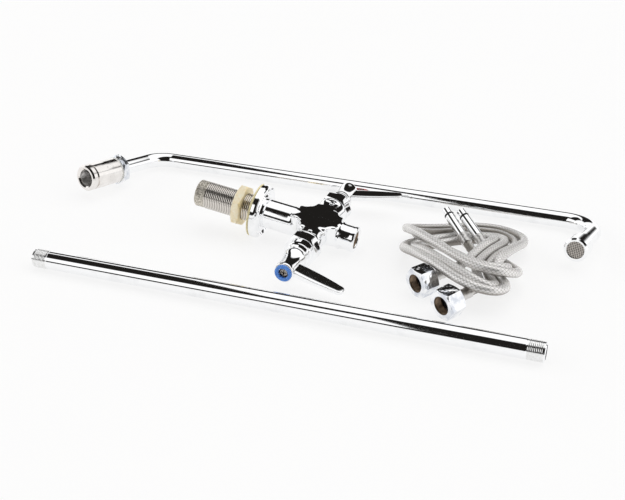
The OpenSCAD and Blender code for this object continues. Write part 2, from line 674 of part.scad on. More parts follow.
module supply_tail(at, dir) color("goldenrod") pointing(at, dir) difference() {
    union() {
        translate([0, 0, nut_inner - 2.2]) cylinder(d = tail_flange_d, h = 2);
        translate([0, 0, nut_inner - 2.2]) cylinder(d = tail_d, h = tail_len - nut_inner + 2.2);
    }
    cylinder(d = hose_bore, h = tail_len + 1);
}

module supply_washer(at, dir) color("black") pointing(at, dir)
    translate([0, 0, nut_thread + gap]) ring(tail_flange_d, hose_bore + 1, washer_h);

module supply_ferrule(at, dir) color("silver") pointing(at, dir)
    translate([0, 0, nut_len + 2]) crimped_sleeve();

// Sleeve with a rounded mouth and a shallow waist where it is crimped
module crimped_sleeve() {
    r = ferrule_d / 2;
    turned([[tail_d / 2 + fit, 0], [r - 0.3, 0], [r, 0.4], [r, ferrule_len * 0.3], [r - 0.3, ferrule_len * 0.4],
        [r - 0.3, ferrule_len * 0.6], [r, ferrule_len * 0.7], [r, ferrule_len - 0.3], [r - 0.2, ferrule_len],
        [tail_d / 2 + fit, ferrule_len]]);
}

module connector(at, dir) color("silver") pointing(at, dir) difference() {
    union() {
        turned([[0, 0], [inlet_bore / 2 - 0.7, 0], [inlet_bore / 2 - 0.1, 0.7], [inlet_bore / 2 - 0.1, tip_len],
            [oring_d / 2 - oring_wire / 2 - fit, tip_len],
            [oring_d / 2 - oring_wire / 2 - fit, tip_len + groove_len],
            [connector_d / 2 - 0.3, tip_len + groove_len], [connector_d / 2, tip_len + groove_len + 0.3],
            [connector_d / 2, connector_len - 0.3], [connector_d / 2 - 0.3, connector_len], [0, connector_len]]);
        translate([0, 0, connector_len - 1]) cylinder(d = tail_d, h = ferrule_len + 1);
    }
    translate([0, 0, -1]) cylinder(d = hose_bore, h = connector_len + ferrule_len + 2);
}

module connector_oring(at, dir) color("black") pointing(at, dir)
    translate([0, 0, tip_len + groove_len / 2]) o_ring(oring_d, oring_wire);

module connector_ferrule(at, dir) color("silver") pointing(at, dir)
    translate([0, 0, connector_len]) crimped_sleeve();

module hose_a_nut() supply_nut(nut_a_at, nut_a_dir);
module hose_a_tail() supply_tail(nut_a_at, nut_a_dir);
module hose_a_washer() supply_washer(nut_a_at, nut_a_dir);
module hose_a_ferrule() supply_ferrule(nut_a_at, nut_a_dir);
module hose_a_connector() connector(tip_a_at, tip_a_dir);
module hose_a_connector_ferrule() connector_ferrule(tip_a_at, tip_a_dir);
module hose_a_oring() connector_oring(tip_a_at, tip_a_dir);
module hose_b_nut() supply_nut(nut_b_at, nut_b_dir);
module hose_b_tail() supply_tail(nut_b_at, nut_b_dir);
module hose_b_washer() supply_washer(nut_b_at, nut_b_dir);
module hose_b_ferrule() supply_ferrule(nut_b_at, nut_b_dir);
module hose_b_connector() connector(tip_b_at, tip_b_dir);
module hose_b_connector_ferrule() connector_ferrule(tip_b_at, tip_b_dir);
module hose_b_oring() connector_oring(tip_b_at, tip_b_dir);

// ---- Supply hoses ----

// Unit vector that points along [azimuth, elevation]
function heading(dir) = [cos(dir[1]) * cos(dir[0]), cos(dir[1]) * sin(dir[0]), sin(dir[1])];

// Middle line of a hose: straight for one diameter out of each ferrule, and along its route between
function hose_line(nut_at, nut_dir, route, tip_at, tip_dir) = let (
    from = nut_at + tail_len * heading(nut_dir),
    to = tip_at + (connector_len + ferrule_len) * heading(tip_dir))
    concat([for (s = [0, 0.5, 1]) from + s * hose_d * heading(nut_dir)], [for (p = route) hoses_at + p],
        [for (s = [1, 0.5, 0]) to + s * hose_d * heading(tip_dir)]);

// Points of a smooth curve through p, n for each span
function smooth(p, n) = let (q = concat([2 * p[0] - p[1]], p, [2 * p[len(p) - 1] - p[len(p) - 2]]))
    concat([for (i = [1 : len(p) - 1], k = [0 : n - 1]) let (t = k / n)
        0.5 * (2 * q[i] + (q[i + 1] - q[i - 1]) * t
            + (2 * q[i - 1] - 5 * q[i] + 4 * q[i + 1] - q[i + 2]) * t * t
            + (3 * q[i] - q[i - 1] - 3 * q[i + 1] + q[i + 2]) * t * t * t)],
        [p[len(p) - 1]]);

function unit(v) = v / norm(v);

// Direction of a line of points at point i
function along(p, i) = unit(p[min(i + 1, len(p) - 1)] - p[max(i - 1, 0)]);

// Sideways vectors along the line that turn as little as they can
function sideways(p) = [for (i = 0, s = unit(cross(along(p, 0), [0, 0, 1])); i < len(p);
    i = i + 1, s = i < len(p) ? unit(s - (s * along(p, i)) * along(p, i)) : s) s];

// Tube along a line of points, with flat ends
module tube_along(p, d, sides = 8) {
    side = sideways(p);
    n = len(p);
    corners = [for (i = [0 : n - 1], k = [0 : sides - 1]) let (a = 360 * k / sides)
        p[i] + d / 2 * (cos(a) * side[i] + sin(a) * cross(along(p, i), side[i]))];
    walls = [for (i = [0 : n - 2], k = [0 : sides - 1]) let (
        a = i * sides + k, b = i * sides + (k + 1) % sides)
        each [[a, b, b + sides], [a, b + sides, a + sides]]];
    first = [for (k = [1 : sides - 2]) [0, k + 1, k]];
    last = [for (k = [1 : sides - 2]) (n - 1) * sides * [1, 1, 1] + [0, k, k + 1]];
    polyhedron(corners, [for (f = concat(walls, first, last)) [f[2], f[1], f[0]]]);
}

// Length of a line of points up to each of its points
function lengths(p) = [for (i = 0, s = 0; i < len(p); i = i + 1, s = s + (i < len(p) ? norm(p[i] - p[i - 1]) : 0)) s];

// Least gap of a hose to itself, between points more than four diameters apart along it
function least_gap(p, d) = let (s = lengths(p))
    min([for (i = [0 : len(p) - 2], j = [i + 1 : len(p) - 1]) if (s[j] - s[i] > 4 * d) norm(p[i] - p[j])]) - d;

line_a = hose_line(nut_a_at, nut_a_dir, route_a, tip_a_at, tip_a_dir);
line_b = hose_line(nut_b_at, nut_b_dir, route_b, tip_b_at, tip_b_dir);
echo(str("Least gap of hose A to itself: ", least_gap(smooth(line_a, 4), hose_d), " mm"));
echo(str("Least gap of hose B to itself: ", least_gap(smooth(line_b, 4), hose_d), " mm"));

module hose_a() color("lightgray") tube_along(line_a, hose_d);
module hose_b() color("lightgray") tube_along(line_b, hose_d);

// ---- Every piece ----

valve_body();
base_flange();
deck_gasket();
shank();
lock_nut();
cold_bonnet();
cold_bonnet_seal();
cold_cartridge();
cold_seat_seal();
cold_stem();
cold_lever();
cold_index_ring();
cold_screw();
hot_bonnet();
hot_bonnet_seal();
hot_cartridge();
hot_seat_seal();
hot_stem();
hot_lever();
hot_index_ring();
hot_screw();
riser_pipe();
nozzle_tube();
tube_collar();
swivel_nut();
thrust_ring();
riser_coupling();
swivel_bush();
swivel_seals();
coupling_gasket();
outlet_collar();
aerator_housing();
aerator_washer();
aerator_insert();
aerator_screen();
hose_a();
hose_a_tail();
hose_a_ferrule();
hose_a_nut();
hose_a_washer();
hose_a_connector();
hose_a_connector_ferrule();
hose_a_oring();
hose_b();
hose_b_tail();
hose_b_ferrule();
hose_b_nut();
hose_b_washer();
hose_b_connector();
hose_b_connector_ferrule();
hose_b_oring();
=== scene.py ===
# %% [markdown]
# # A faucet kit on a white table
# Its solids come ready made from CAD and keep their places. This lesson adds what CAD leaves out:
# the braid of the hoses, the threads, the soft creases of the casting, the shape of the levers, and
# the finish of every piece. Lengths are in millimetres until MM makes them metres.

# %% Load the solids
import json
import math
import bpy
import numpy as np
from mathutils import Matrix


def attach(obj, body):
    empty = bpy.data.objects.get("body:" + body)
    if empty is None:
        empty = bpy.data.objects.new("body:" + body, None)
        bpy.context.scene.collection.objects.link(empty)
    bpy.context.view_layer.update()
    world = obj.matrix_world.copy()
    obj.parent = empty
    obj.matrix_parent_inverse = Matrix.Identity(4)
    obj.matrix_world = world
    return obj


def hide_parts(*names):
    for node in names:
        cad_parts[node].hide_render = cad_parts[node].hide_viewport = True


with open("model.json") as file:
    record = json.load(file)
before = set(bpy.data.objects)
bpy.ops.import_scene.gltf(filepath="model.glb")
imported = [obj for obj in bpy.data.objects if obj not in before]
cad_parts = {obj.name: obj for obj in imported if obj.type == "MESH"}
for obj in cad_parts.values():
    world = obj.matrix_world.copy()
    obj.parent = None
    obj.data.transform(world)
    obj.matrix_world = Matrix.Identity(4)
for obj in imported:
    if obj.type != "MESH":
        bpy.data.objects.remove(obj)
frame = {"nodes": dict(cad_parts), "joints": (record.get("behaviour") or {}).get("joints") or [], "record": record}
nodes = frame["nodes"]
joints = {joint["name"]: joint for joint in frame["joints"]}
mounts = {mount["name"]: mount for mount in frame["record"]["mounts"]}
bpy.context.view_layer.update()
MM = 0.001

# %% [markdown]
# ## Camera
# The camera stands at the right of the riser pipe and looks down at about thirty degrees. It could
# be aimed with a Track To constraint, but three plain angles are easier to keep: pitch, no roll,
# and a turn to the left. A 57 mm lens keeps the long pipes from bending away in perspective.

# %% Camera
camera = bpy.data.objects.new("camera", bpy.data.cameras.new("camera"))
bpy.context.scene.collection.objects.link(camera)
camera.location = (0.2785, -0.7784, 0.4424)
camera.rotation_euler = [math.radians(angle) for angle in (61.5, 0, 19.348)]
camera.data.lens = 56.97
bpy.context.scene.camera = camera
print("camera at:", tuple(camera.location))

# %% [markdown]
# ## Surfaces from numpy
# Every new piece here is a grid of points: rows along the piece, columns around it. Blender's own
# primitives would work for plain pipes, but a grid also makes threads and hoses, and whole arrays
# are quick. One helper turns any such grid into a mesh, joins its edges and gives it a UV map.
# Where two faces meet at more than the crease angle, the edge stays hard.

# %% Grid to mesh
CREASE = math.radians(38)
UV_NAME = "around_along"

def unit(v):
    """The vector divided by its length."""
    return np.array(v, float) / np.linalg.norm(v)

def grid_mesh(name, points, uv=None, ring=False, capped=True):
    """Mesh from points[row, column]. Columns close round; rows close too if ring is set, and else
    end in caps. Face i, j joins the corners (i, j), (i, j+1), (i+1, j+1), (i+1, j). Where uv gives
    a number for each row, the UV map holds (share of a turn, that number)."""
    rows, columns = points.shape[:2]
    index = np.arange(rows * columns).reshape(rows, columns)
    if ring:
        index = np.vstack([index, index[:1]])
    index = np.hstack([index, index[:, :1]])
    corners = [index[:-1, :-1], index[:-1, 1:], index[1:, 1:], index[1:, :-1]]
    quads = np.stack(corners, -1).reshape(-1, 4)
    caps = [] if ring or not capped else [index[0, -2::-1].tolist(), index[-1, :-1].tolist()]
    mesh = bpy.data.meshes.new(name)
    mesh.from_pydata(points.reshape(-1, 3), [], quads.tolist() + caps)
    mesh.polygons.foreach_set("use_smooth", np.arange(len(mesh.polygons)) < len(quads))
    mesh.set_sharp_from_angle(angle=CREASE)
    if uv is not None:
        row, column = np.divmod(np.arange(len(quads)), columns)
        u = (np.array([0, 1, 1, 0]) + column[:, None]) / columns
        v = np.stack([uv[row], uv[row], uv[row + 1], uv[row + 1]], 1)
        flat = np.zeros((len(mesh.loops), 2))
        flat[: u.size] = np.stack([u.ravel(), v.ravel()], 1)
        mesh.uv_layers.new(name=UV_NAME).data.foreach_set("uv", flat.ravel())
    piece = bpy.data.objects.new(name, mesh)
    bpy.context.scene.collection.objects.link(piece)
    return piece

# %% [markdown]
# ## Supply hoses
# A supply hose is a rubber tube in a sleeve of braided steel wire. It is stiff, so it lies in wide
# loops that rise over each other and come down to the table again. A Bezier curve with a round
# bevel would also do, but a grid keeps the distance along the hose, which the braid needs. The
# route is a list of points from the nut to the connector, rounded to a smooth curve.

# %% Hose route
HOSE_D, SLEEVE_D = 8.5, 8.4           # the solid, and the sleeve that shows
NUT_TO_HOSE, TIP_TO_HOSE = 33.0, 45.0 # from a nut's mouth and a connector's tip to the hose
SPAN_STEPS = 6                        # rings from one point of the route to the next
HOSES_AT = np.array([3.5, 0.1, 0.0])  # where the bundle lies on the table

def heading(azimuth, elevation):
    """Unit vector: cos of the elevation times (cos, sin) of the azimuth, then sin of the
    elevation."""
    a, e = np.radians([azimuth, elevation])
    return np.array([np.cos(e) * np.cos(a), np.cos(e) * np.sin(a), np.sin(e)])

def smooth_line(p, n):
    """Catmull-Rom curve with n steps a span: each span is a cubic whose ends lean along the chord
    of their neighbours."""
    q = np.vstack([2 * p[0] - p[1], p, 2 * p[-1] - p[-2]])
    t = (np.arange(n) / n)[None, :, None]
    a, b, c, d = (q[i : len(q) - 3 + i, None] for i in range(4))
    square, cube = 2 * a - 5 * b + 4 * c - d, 3 * b - a - 3 * c + d
    spans = 0.5 * (2 * b + (c - a) * t + square * t**2 + cube * t**3)
    return np.vstack([spans.reshape(-1, 3), p[-1:]])

def hose_line(nut, nut_way, route, tip, tip_way):
    """Straight for one diameter out of each ferrule, and along the route's points between."""
    nut, tip, way, back = HOSES_AT + nut, HOSES_AT + tip, heading(*nut_way), heading(*tip_way)
    start = [nut + (NUT_TO_HOSE + s * HOSE_D) * way for s in (0, 0.5, 1)]
    end = [tip + (TIP_TO_HOSE + s * HOSE_D) * back for s in (1, 0.5, 0)]
    return np.vstack([start, HOSES_AT + np.array(route), end]) * MM

ROUTE_A = [
    (145, -18, 13.5), (149.3, -7.5, 13.7), (153, 4, 14.5), (157, 16, 15.5), (161.5, 27.5, 16.2),
    (165, 38, 15), (163.5, 47.5, 11.5), (156.8, 52, 8), (148.2, 52, 5.6), (139, 49, 4.4),
    (129.8, 44.3, 4.4), (120.5, 37, 4.4), (111.5, 29.5, 4.8), (104, 20.5, 6.4), (100, 11, 9.6),
    (99.5, 2, 14), (103.5, -6, 18), (110.5, -13.5, 21.4), (118.5, -21.2, 23.5), (128, -29.2, 24.5),
    (138.3, -37, 24.8), (148.8, -44.7, 24.8), (158.4, -51.4, 24.6), (167.6, -56, 23.6),
    (176.3, -56.3, 21.2), (181.3, -48.3, 17.8), (178.3, -37.5, 14.4), (173.4, -27, 12.7),
    (169.8, -16, 12.6), (170.2, -4.5, 13.8), (173.2, 7, 14.5), (177.5, 18.5, 14), (182, 30, 12.3),
    (184, 42, 10), (181.8, 54.6, 7.8), (174.8, 64.7, 5.9), (164, 71.2, 4.8), (152, 72, 4.4),
    (140, 69.5, 4.4), (128.5, 64.5, 4.4), (117.2, 58.4, 4.4), (107, 52.6, 5), (98.8, 46, 7),
    (94, 38.5, 10.5), (93.8, 29.7, 14.2), (97.6, 21.2, 17.2), (104.5, 13.7, 19.8),
    (112.8, 6.3, 21), (121.8, -0.7, 21.5), (131.5, -7.7, 22), (141.6, -14.6, 22.5),
    (152, -21, 22.8), (162.8, -26.3, 23.2), (173.5, -28.3, 23.4), (182.4, -25, 22.7),
    (187, -17, 18.8), (184.8, -8, 11.6), (176.5, 1.3, 6), (167, 10, 4.4), (159, 17.8, 4.4),
    (152.3, 24.4, 4.7)]
ROUTE_B = [
    (168.3, -45.6, 14.6), (166, -36, 14.2), (162.4, -26.5, 13.8), (160, -16, 13.7),
    (160.5, -5, 13.9), (163.3, 6, 14.3), (167.3, 17.5, 14.6), (171.8, 28.6, 14),
    (174.6, 39.5, 12.4), (173.2, 50.5, 9.8), (167, 58.9, 7), (157.3, 62, 5), (146, 61.2, 4.4),
    (134.5, 57, 4.4), (124, 51, 4.4), (113.5, 44.3, 4.4), (103.5, 37.2, 4.4), (95.2, 28.8, 5.1),
    (90.3, 19.2, 7.2), (89, 8.7, 10.4), (90.5, -1.5, 14.2), (95.3, -11, 18.2),
    (102.8, -19.8, 21.6), (112, -28.5, 24), (122.8, -37.2, 25.4), (133.3, -45.6, 25.5),
    (144, -53.8, 25), (155.2, -61, 24.6), (166.3, -66, 24), (177.3, -66, 22.4), (186.2, -61, 20.4),
    (190.8, -51, 18), (189.2, -39.3, 15.2), (184, -28, 12.9), (179, -17, 14), (178, -5.7, 18.3),
    (181, 6, 19.3), (185.2, 18, 18.8), (189.5, 30, 17.2), (192, 42, 14.2), (190.4, 55.4, 11),
    (184.4, 67.2, 8), (174.3, 76.3, 5.8), (162.4, 80.8, 4.8), (150, 81, 4.4), (138, 78.4, 4.4),
    (126.3, 73.5, 4.4), (115.2, 67.8, 4.4), (104.4, 62.8, 4.7), (94.8, 57, 5.9), (87.6, 49.5, 8.5),
    (84.2, 40.6, 12.4), (84.5, 31, 17.1), (88.4, 21.4, 22), (95.3, 12.3, 25.5), (104.4, 3.8, 27.4),
    (114.8, -4.4, 28), (125.7, -12.3, 28), (136.6, -20.4, 27.6), (147.6, -28.2, 27.4),
    (158.6, -34.7, 27.2), (170, -38, 26.8), (181, -37.2, 25.4), (190, -31.6, 22.6),
    (195.6, -22.5, 18.3), (195.6, -11, 13.4), (190, 1.3, 8.8), (181.8, 12.7, 6),
    (174.2, 20.7, 4.6), (167.5, 27.4, 4.6)]
NUTS = {"a": ((115.7, -59.1, 12.4), (53, 2)), "b": ((144.7, -87.4, 12.4), (57, 3))}
TIPS = {"a": ((113.5, 65.5, 25), (-47, -21)), "b": ((127.5, 67, 25), (-45, -21))}
print("route points:", len(ROUTE_A), len(ROUTE_B))

# %% [markdown]
# ## A tube along a route
# A circle is carried along the route and stays square to it. Blender's curves do this with their
# own twist; here each ring takes over the side of the ring before it and only tips it, so the braid
# never twists by itself. The tube stands a hair inside its solid.

def lengths(line):
    """Distance along the line to each of its points: the running sum of its spans."""
    return np.concatenate([[0], np.cumsum(np.linalg.norm(np.diff(line, axis=0), axis=1))])

def carried_tube(name, line, d, sides=20):
    """Point (i, j) is the line's point i plus d/2 times (cos j along its side + sin j along its
    lift). The side starts level and is carried on with as little turn as it can."""
    ahead = np.gradient(line, axis=0)
    ahead /= np.linalg.norm(ahead, axis=1)[:, None]
    side = np.cross(ahead, (0, 0, 1))
    for i in range(len(line)):
        before = side[max(i - 1, 0)]
        side[i] = unit(before - (before @ ahead[i]) * ahead[i])
    lift = np.cross(ahead, side)
    turn = np.linspace(0, 2 * np.pi, sides, endpoint=False)[None, :, None]
    spokes = np.cos(turn) * side[:, None] + np.sin(turn) * lift[:, None]
    return grid_mesh(name, line[:, None] + d / 2 * spokes, uv=lengths(line))

hoses = {}
for key, route in (("a", ROUTE_A), ("b", ROUTE_B)):
    line = smooth_line(hose_line(*NUTS[key], route, *TIPS[key]), SPAN_STEPS)
    hose = hoses[key] = carried_tube(f"braided_hose_{key}", line, SLEEVE_D * MM)
    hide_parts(f"hose_{key}")
    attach(hose, "hoses")

# %% [markdown]
# ## Shader maths
# A pattern in a material is arithmetic on coordinates. Node trees of a dozen Math boxes are hard to
# read, so one small class lets Python write them: adding two wires adds a Math node. Any other
# node comes from its one method, which sets the node up first and then plugs its sockets.

# %% Wires
class Wire:
    """One output socket. + - * / ** and > between wires and numbers add Math nodes."""

    def __init__(self, tree, socket=None):
        self.tree, self.socket = tree, socket

    def node(self, kind, inputs=(), out=0, **settings):
        """Any node of the same tree: settings first, then the values or wires of its sockets."""
        made = self.tree.nodes.new("ShaderNode" + kind)
        for key, value in settings.items():
            setattr(made, key, value)
        for key, value in dict(inputs).items():
            if isinstance(value, Wire):
                self.tree.links.new(value.socket, made.inputs[key])
            else:
                made.inputs[key].default_value = value
        return Wire(self.tree, made.outputs[out] if made.outputs else None)

    def math(self, operation, *others):
        return self.node("Math", dict(enumerate((self, *others))), operation=operation)

    def __add__(self, other): return self.math("ADD", other)
    def __sub__(self, other): return self.math("SUBTRACT", other)
    def __mul__(self, other): return self.math("MULTIPLY", other)
    def __truediv__(self, other): return self.math("DIVIDE", other)
    def __pow__(self, other): return self.math("POWER", other)
    def __gt__(self, other): return self.math("GREATER_THAN", other)
    def __rsub__(self, other): return self.node("Math", {0: other, 1: self}, operation="SUBTRACT")
    __radd__, __rmul__ = __add__, __mul__

    def held(self): return self.node("Clamp", {0: self})
    def wave(self): return self.math("SINE")
    def size(self): return self.math("ABSOLUTE")
    def either(self, other): return self.math("MAXIMUM", other)
    def over(self, low, high): return ((self - low) / (high - low)).held()
    def parts(self): return [self.node("SeparateXYZ", {0: self}, out=i) for i in range(3)]
    def ray(self, kind): return self.node("LightPath", out=f"Is {kind} Ray")

    def along(self, axis):
        """Distance of a place along a unit vector: their dot product."""
        return self.node("VectorMath", {0: self, 1: axis}, out=1, operation="DOT_PRODUCT")

    def noise(self, scale, detail=3.0):
        return self.node("TexNoise", {"Vector": self, "Scale": scale, "Detail": detail})

    def mix(self, a, b):
        """Colour a where this wire is 0, and b where it is 1."""
        fill = lambda colour: colour if isinstance(colour, Wire) else (*colour, 1)
        return self.node("Mix", {0: self, 6: fill(a), 7: fill(b)}, out=2, data_type="RGBA")

    def bump(self):
        """Normal of a surface raised by this wire, which is a height in millimetres."""
        return self.node("Bump", {"Height": self, "Distance": MM, "Strength": 1.0})

def finish(name, paint, metallic=1.0):
    """A material. paint gets the Object coordinates as a wire and returns {socket: wire or
    value}."""
    material = bpy.data.materials.new(name)
    material.use_nodes = True
    tree = material.node_tree
    shader = tree.nodes["Principled BSDF"]
    at = Wire(tree).node("TexCoord", out="Object")
    for key, value in {"Metallic": metallic, **paint(at)}.items():
        if isinstance(value, Wire):
            tree.links.new(value.socket, shader.inputs[key])
        else:
            shader.inputs[key].default_value = value
    return material

# %% [markdown]
# ## Chrome and nickel
# Chrome plating is a thin hard mirror over polished brass. A flat grey metal looks like plastic: a
# real casting is never quite even, so its reflections swim a little, and fingers leave faint soft
# patches. Both come from noise, one in the bump and one in the roughness. The cast valve gets wide
# slow waves, the forged nuts short strong ones, and the drawn tubes only fine lines along them.
# Nickel is warmer: the coupling is polished, and the crimped ferrules are satin.

# %% Chrome and nickel finishes
CHROME = (0.955, 0.96, 0.968)

def cast_chrome(at):
    """Clean chrome to smudged by a cloud, over waves 0.03 mm high and ripples a tenth of that."""
    smear = at.noise(90.0, 4.0).over(0.5, 0.75)
    return {"Base Color": smear.mix(CHROME, (0.86, 0.865, 0.87)),
            "Roughness": 0.045 + smear * 0.05,
            "Normal": (at.noise(30.0, 1.0) * 0.03 + at.noise(150.0, 2.0) * 0.004).bump()}

def forged_chrome(at):
    """Chrome that a cloud makes darker, bluer and rougher, over dents 0.9 mm high that break its
    mirror up.
    """
    smear = at.noise(130.0, 4.0).over(0.4, 0.65)
    return {"Base Color": smear.mix(CHROME, (0.66, 0.69, 0.75)),
            "Roughness": 0.06 + smear * 0.12,
            "Normal": (at.noise(110.0, 2.0) * 0.9 + at.noise(300.0, 2.0) * 0.06).bump()}

def drawn_chrome(at):
    """Noise stretched along x, as a tube is drawn, makes lines in both roughness and height."""
    lines = at.node("Mapping", {"Vector": at, "Scale": (6.0, 400.0, 400.0)}).noise(1.0, 2.0)
    smear = at.noise(60.0).over(0.52, 0.8)
    return {"Base Color": smear.mix(CHROME, (0.86, 0.865, 0.875)),
            "Roughness": 0.04 + smear * 0.05 + lines * 0.02,
            "Normal": (lines * 0.006 + at.noise(30.0, 1.0) * 0.05).bump()}

def polished_nickel(at):
    """A warm cloud over soft waves 0.2 mm high, with a fine grain on them."""
    cloud = at.noise(110.0).over(0.3, 0.7)
    return {"Base Color": cloud.mix((0.80, 0.77, 0.745), (0.90, 0.875, 0.85)),
            "Roughness": 0.08 + cloud * 0.06,
            "Normal": (at.noise(300.0, 2.0) * 0.02 + at.noise(60.0, 1.0) * 0.2).bump()}

def satin_nickel(at):
    """A grain about a millimetre wide in roughness and height."""
    grain = at.noise(900.0)
    return {"Base Color": at.noise(140.0).mix((0.60, 0.585, 0.565), (0.74, 0.73, 0.72)),
            "Roughness": 0.24 + grain * 0.16,
            "Normal": (grain * 0.02).bump()}

chrome = finish("cast_chrome", cast_chrome)
forged = finish("forged_chrome", forged_chrome)
tube_chrome = finish("drawn_chrome", drawn_chrome)
nickel = finish("satin_nickel", satin_nickel)
bright_nickel = finish("polished_nickel", polished_nickel)
print("platings:", [m.name for m in (chrome, forged, tube_chrome, nickel, bright_nickel)])

# %% [markdown]
# ## Brass, steel, fibre, rubber and plastic
# The lock nut is cut from brass bar and never polished, so it stays light gold and matt. The tails
# of the hoses are dull brass, and the threads of the riser bright steel. The gasket is pressed
# fibre with a mottled, pale yellow face. Each is a two-colour mix by noise, with a bump of finer
# noise, which is the cheapest way to show that a surface has a grain.

# %% Grained finishes
def grained(name, dark, light, scale, rough, depth, metallic=1.0):
    """Dark to light by 0.7 of a cloud and 0.3 of its grain, six times finer. The cloud also leads
    the roughness from rough[0] to rough[1], and the grain stands depth millimetres high."""
    def paint(at):
        cloud = at.noise(scale, 4.0).over(0.3, 0.7)
        grain = at.noise(scale * 6.0, 2.0)
        return {"Base Color": (cloud * 0.7 + grain * 0.3).mix(dark, light),
                "Roughness": rough[0] + cloud * (rough[1] - rough[0]),
                "Normal": (grain * depth).bump()}
    return finish(name, paint, metallic)

lock_brass = grained("turned_brass", (0.90, 0.75, 0.47), (1.0, 0.95, 0.78), 380.0,
                     (0.3, 0.45), 0.08, 0.45)
dull_brass = grained("dull_brass", (0.42, 0.38, 0.32), (0.80, 0.75, 0.67), 300.0,
                     (0.3, 0.5), 0.08)
fibre = grained("gasket_fibre", (0.74, 0.62, 0.30), (0.92, 0.84, 0.56), 420.0,
                (0.75, 0.9), 0.08, 0.0)
rubber = grained("black_rubber", (0.012, 0.012, 0.013), (0.035, 0.034, 0.033), 350.0,
                 (0.5, 0.7), 0.03, 0.0)
moulding = grained("white_moulding", (0.76, 0.75, 0.70), (0.86, 0.85, 0.82), 120.0,
                   (0.3, 0.42), 0.02, 0.0)
blue_ring = grained("blue_ring", (0.07, 0.24, 0.74), (0.13, 0.34, 0.86), 200.0,
                    (0.28, 0.4), 0.02, 0.0)
red_ring = grained("red_ring", (0.36, 0.02, 0.018), (0.48, 0.035, 0.03), 200.0,
                   (0.28, 0.4), 0.02, 0.0)
screw_steel = grained("screw_steel", (0.20, 0.175, 0.15), (0.58, 0.55, 0.51), 330.0,
                      (0.25, 0.45), 0.04)
thread_steel = grained("thread_steel", (0.76, 0.76, 0.75), (0.94, 0.94, 0.945), 500.0,
                       (0.13, 0.24), 0.01)
bore_brass = grained("bore_brass", (0.20, 0.14, 0.10), (0.50, 0.38, 0.27), 400.0,
                     (0.3, 0.5), 0.05)
print("materials so far:", len(bpy.data.materials))

# %% [markdown]
# ## Braid
# The sleeve of a supply hose is woven from flat bundles of wire that run round it both ways and
# pass over and under each other. On the hose's own UV map, u runs once round and v is the distance
# along, so two slanted waves are the two families. Where one family is on top its wires show, and
# the four corners round each crossing are small dark gaps. The upper side gets a painted highlight
# and the rest painted shade, which u alone can tell. A woven mesh would cost a million faces.

# %% Braid
BUNDLES, WIRES = 8.0, 5.0
BRAID_TURN = 26.5 * MM

def braid(at):
    """Families right and left = BUNDLES * (u + or - v / turn), each |sin(pi * family)| high. The
    one on top has sin(pi * right) * sin(pi * left) above 0 or below it, and WIRES sine waves."""
    u, v, _ = at.node("UVMap", uv_map=UV_NAME).parts()
    right = u * BUNDLES + v * (BUNDLES / BRAID_TURN)
    left = u * BUNDLES - v * (BUNDLES / BRAID_TURN)
    right_wave, left_wave = (right * math.pi).wave(), (left * math.pi).wave()
    right_hump, left_hump = right_wave.size(), left_wave.size()
    strands = lambda family: (family * (2 * math.pi * WIRES)).wave() * 0.5 + 0.5
    on_top = (right_wave * left_wave) > 0.0
    wires = (on_top * (strands(right) * left_hump ** 0.35)
             + (1 - on_top) * (strands(left) * right_hump ** 0.35))
    crown = (right_hump * left_hump) ** 0.45
    gap = 1 - (right_hump + left_hump).over(0.3, 0.8)
    # Painted highlight on the top of the sleeve and painted shade on its sides and underside, by u round the hose.
    painted_top_light = ((u * (-2 * math.pi)).wave() + at.noise(120.0) * 0.2).over(-0.25, 0.45)
    steel = painted_top_light.mix((0.34, 0.315, 0.285), (1.0, 0.985, 0.965))
    shaded = (crown * 0.65 + wires * 0.35).over(0.1, 0.55).mix((0.15, 0.135, 0.12), steel)
    return {"Base Color": gap.mix(shaded, (0.015, 0.013, 0.012)),
            "Roughness": 0.24 + gap * 0.4,
            "Metallic": 0.6 - gap * 0.5,
            "Normal": (crown * 0.1 + wires * 0.03).bump()}

sleeve = finish("steel_braid", braid)
for hose in hoses.values():
    hose.data.materials.append(sleeve)
print("braided:", [hose.name for hose in hoses.values()])

# %% [markdown]
# ## Aerator screen
# Water leaves through a round of woven wire mesh. At this size the wires are hairs, so the screen
# stays flat and its pattern makes them: two sets of lines across each other, dark where neither
# runs. The lines follow two axes that lie in the face of the screen.

# %% Aerator screen
SCREEN_CELL = 1.6 * MM
spout = unit(joints["aerator_turn"]["axis"])
level_in_face = unit(np.cross(spout, (0, 0, 1)))
screen_axes = (level_in_face, np.cross(level_in_face, spout))

def screen_mesh(at):
    """Along each axis a set of lines is (sin(2 pi * distance / cell) / 2 + 1/2) squared, and the
    wire is the higher of the two."""
    turns = [at.along(tuple(axis)) * (2 * math.pi / SCREEN_CELL) for axis in screen_axes]
    first, second = ((turn.wave() * 0.5 + 0.5) ** 2.0 for turn in turns)
    wire = first.either(second).over(0.2, 0.7)
    return {"Base Color": wire.mix((0.03, 0.028, 0.026), (0.62, 0.575, 0.53)),
            "Roughness": 0.6 - wire * 0.25,
            "Metallic": wire * 0.9,
            "Normal": (wire * 0.25).bump()}

screen = finish("wire_screen", screen_mesh)
print("the screen faces:", spout.round(3))

# %% [markdown]
# ## Finishes of the CAD solids
# Each solid keeps its mesh, and only its material slot is filled. A table from finish to solids
# shows at a glance which pieces share a plating.

